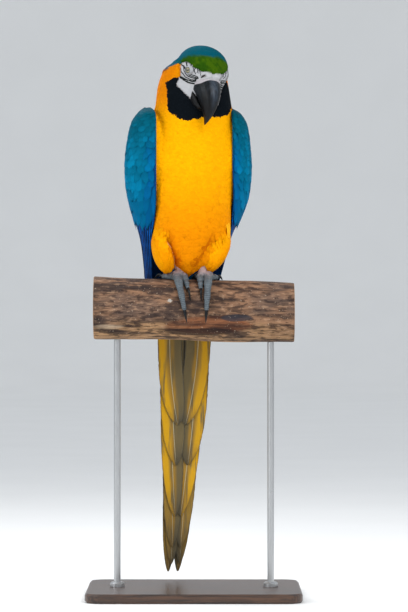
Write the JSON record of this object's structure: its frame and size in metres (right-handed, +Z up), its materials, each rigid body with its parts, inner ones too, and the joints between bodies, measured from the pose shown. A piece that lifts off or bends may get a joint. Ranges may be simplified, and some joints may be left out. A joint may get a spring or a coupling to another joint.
{
  "type": "perched blue-and-yellow macaw, life-size still model on a display stand",
  "caption": "Long-tailed macaw with folded blue wings and a yellow breast, gripping a short cut of branch held over a flat base by upright rods.",
  "frame": {"origin": "middle of the display base's underside", "axes": "+Z up; the bird faces about -Y, turned ten degrees to +X; the branch runs along X"},
  "size_m": [0.32, 0.25, 0.8215],
  "materials": {
    "yellow_feather": "golden yellow body feathers",
    "head_feather": "green forehead and blue-green crown, with bare white cheeks and a black throat",
    "blue_feather": "turquoise blue coverts",
    "primary_feather": "deep blue flight feathers",
    "tail_feather": "olive brown underside with golden yellow along the shafts, blue above",
    "bill_horn": "black horn, satin",
    "claw_horn": "black horn, satin",
    "foot_skin": "dark grey scaly skin",
    "eye": "pale yellow iris round a black pupil, wet gloss",
    "branch_wood": "weathered barkless branch",
    "rod_steel": "brushed",
    "plinth": "dark stained board, satin"
  },
  "bodies": {
    "root": {"bill_lower": "bill_horn", "bill_upper": "bill_horn", "claw_left_inner_back": "claw_horn", "claw_left_inner_front": "claw_horn", "claw_left_outer_back": "claw_horn", "claw_left_outer_front": "claw_horn", "claw_right_inner_back": "claw_horn", "claw_right_inner_front": "claw_horn", "claw_right_outer_back": "claw_horn", "claw_right_outer_front": "claw_horn", "eye_left": "eye", "eye_right": "eye", "foot_left": "foot_skin", "foot_right": "foot_skin", "head": "head_feather", "neck": "yellow_feather", "perch": "branch_wood", "stand_base": "plinth", "stand_rod_left": "rod_steel", "stand_rod_right": "rod_steel", "tail_feather_left_1": "tail_feather", "tail_feather_left_2": "tail_feather", "tail_feather_left_3": "tail_feather", "tail_feather_left_4": "tail_feather", "tail_feather_left_5": "tail_feather", "tail_feather_left_6": "tail_feather", "tail_feather_right_1": "tail_feather", "tail_feather_right_2": "tail_feather", "tail_feather_right_3": "tail_feather", "tail_feather_right_4": "tail_feather", "tail_feather_right_5": "tail_feather", "tail_feather_right_6": "tail_feather", "tail_root": "blue_feather", "thigh_left": "yellow_feather", "thigh_right": "yellow_feather", "trunk": "yellow_feather", "wing_coverts_left": "blue_feather", "wing_coverts_right": "blue_feather", "wing_primaries_left": "primary_feather", "wing_primaries_right": "primary_feather"}
  },
  "joints": []
}
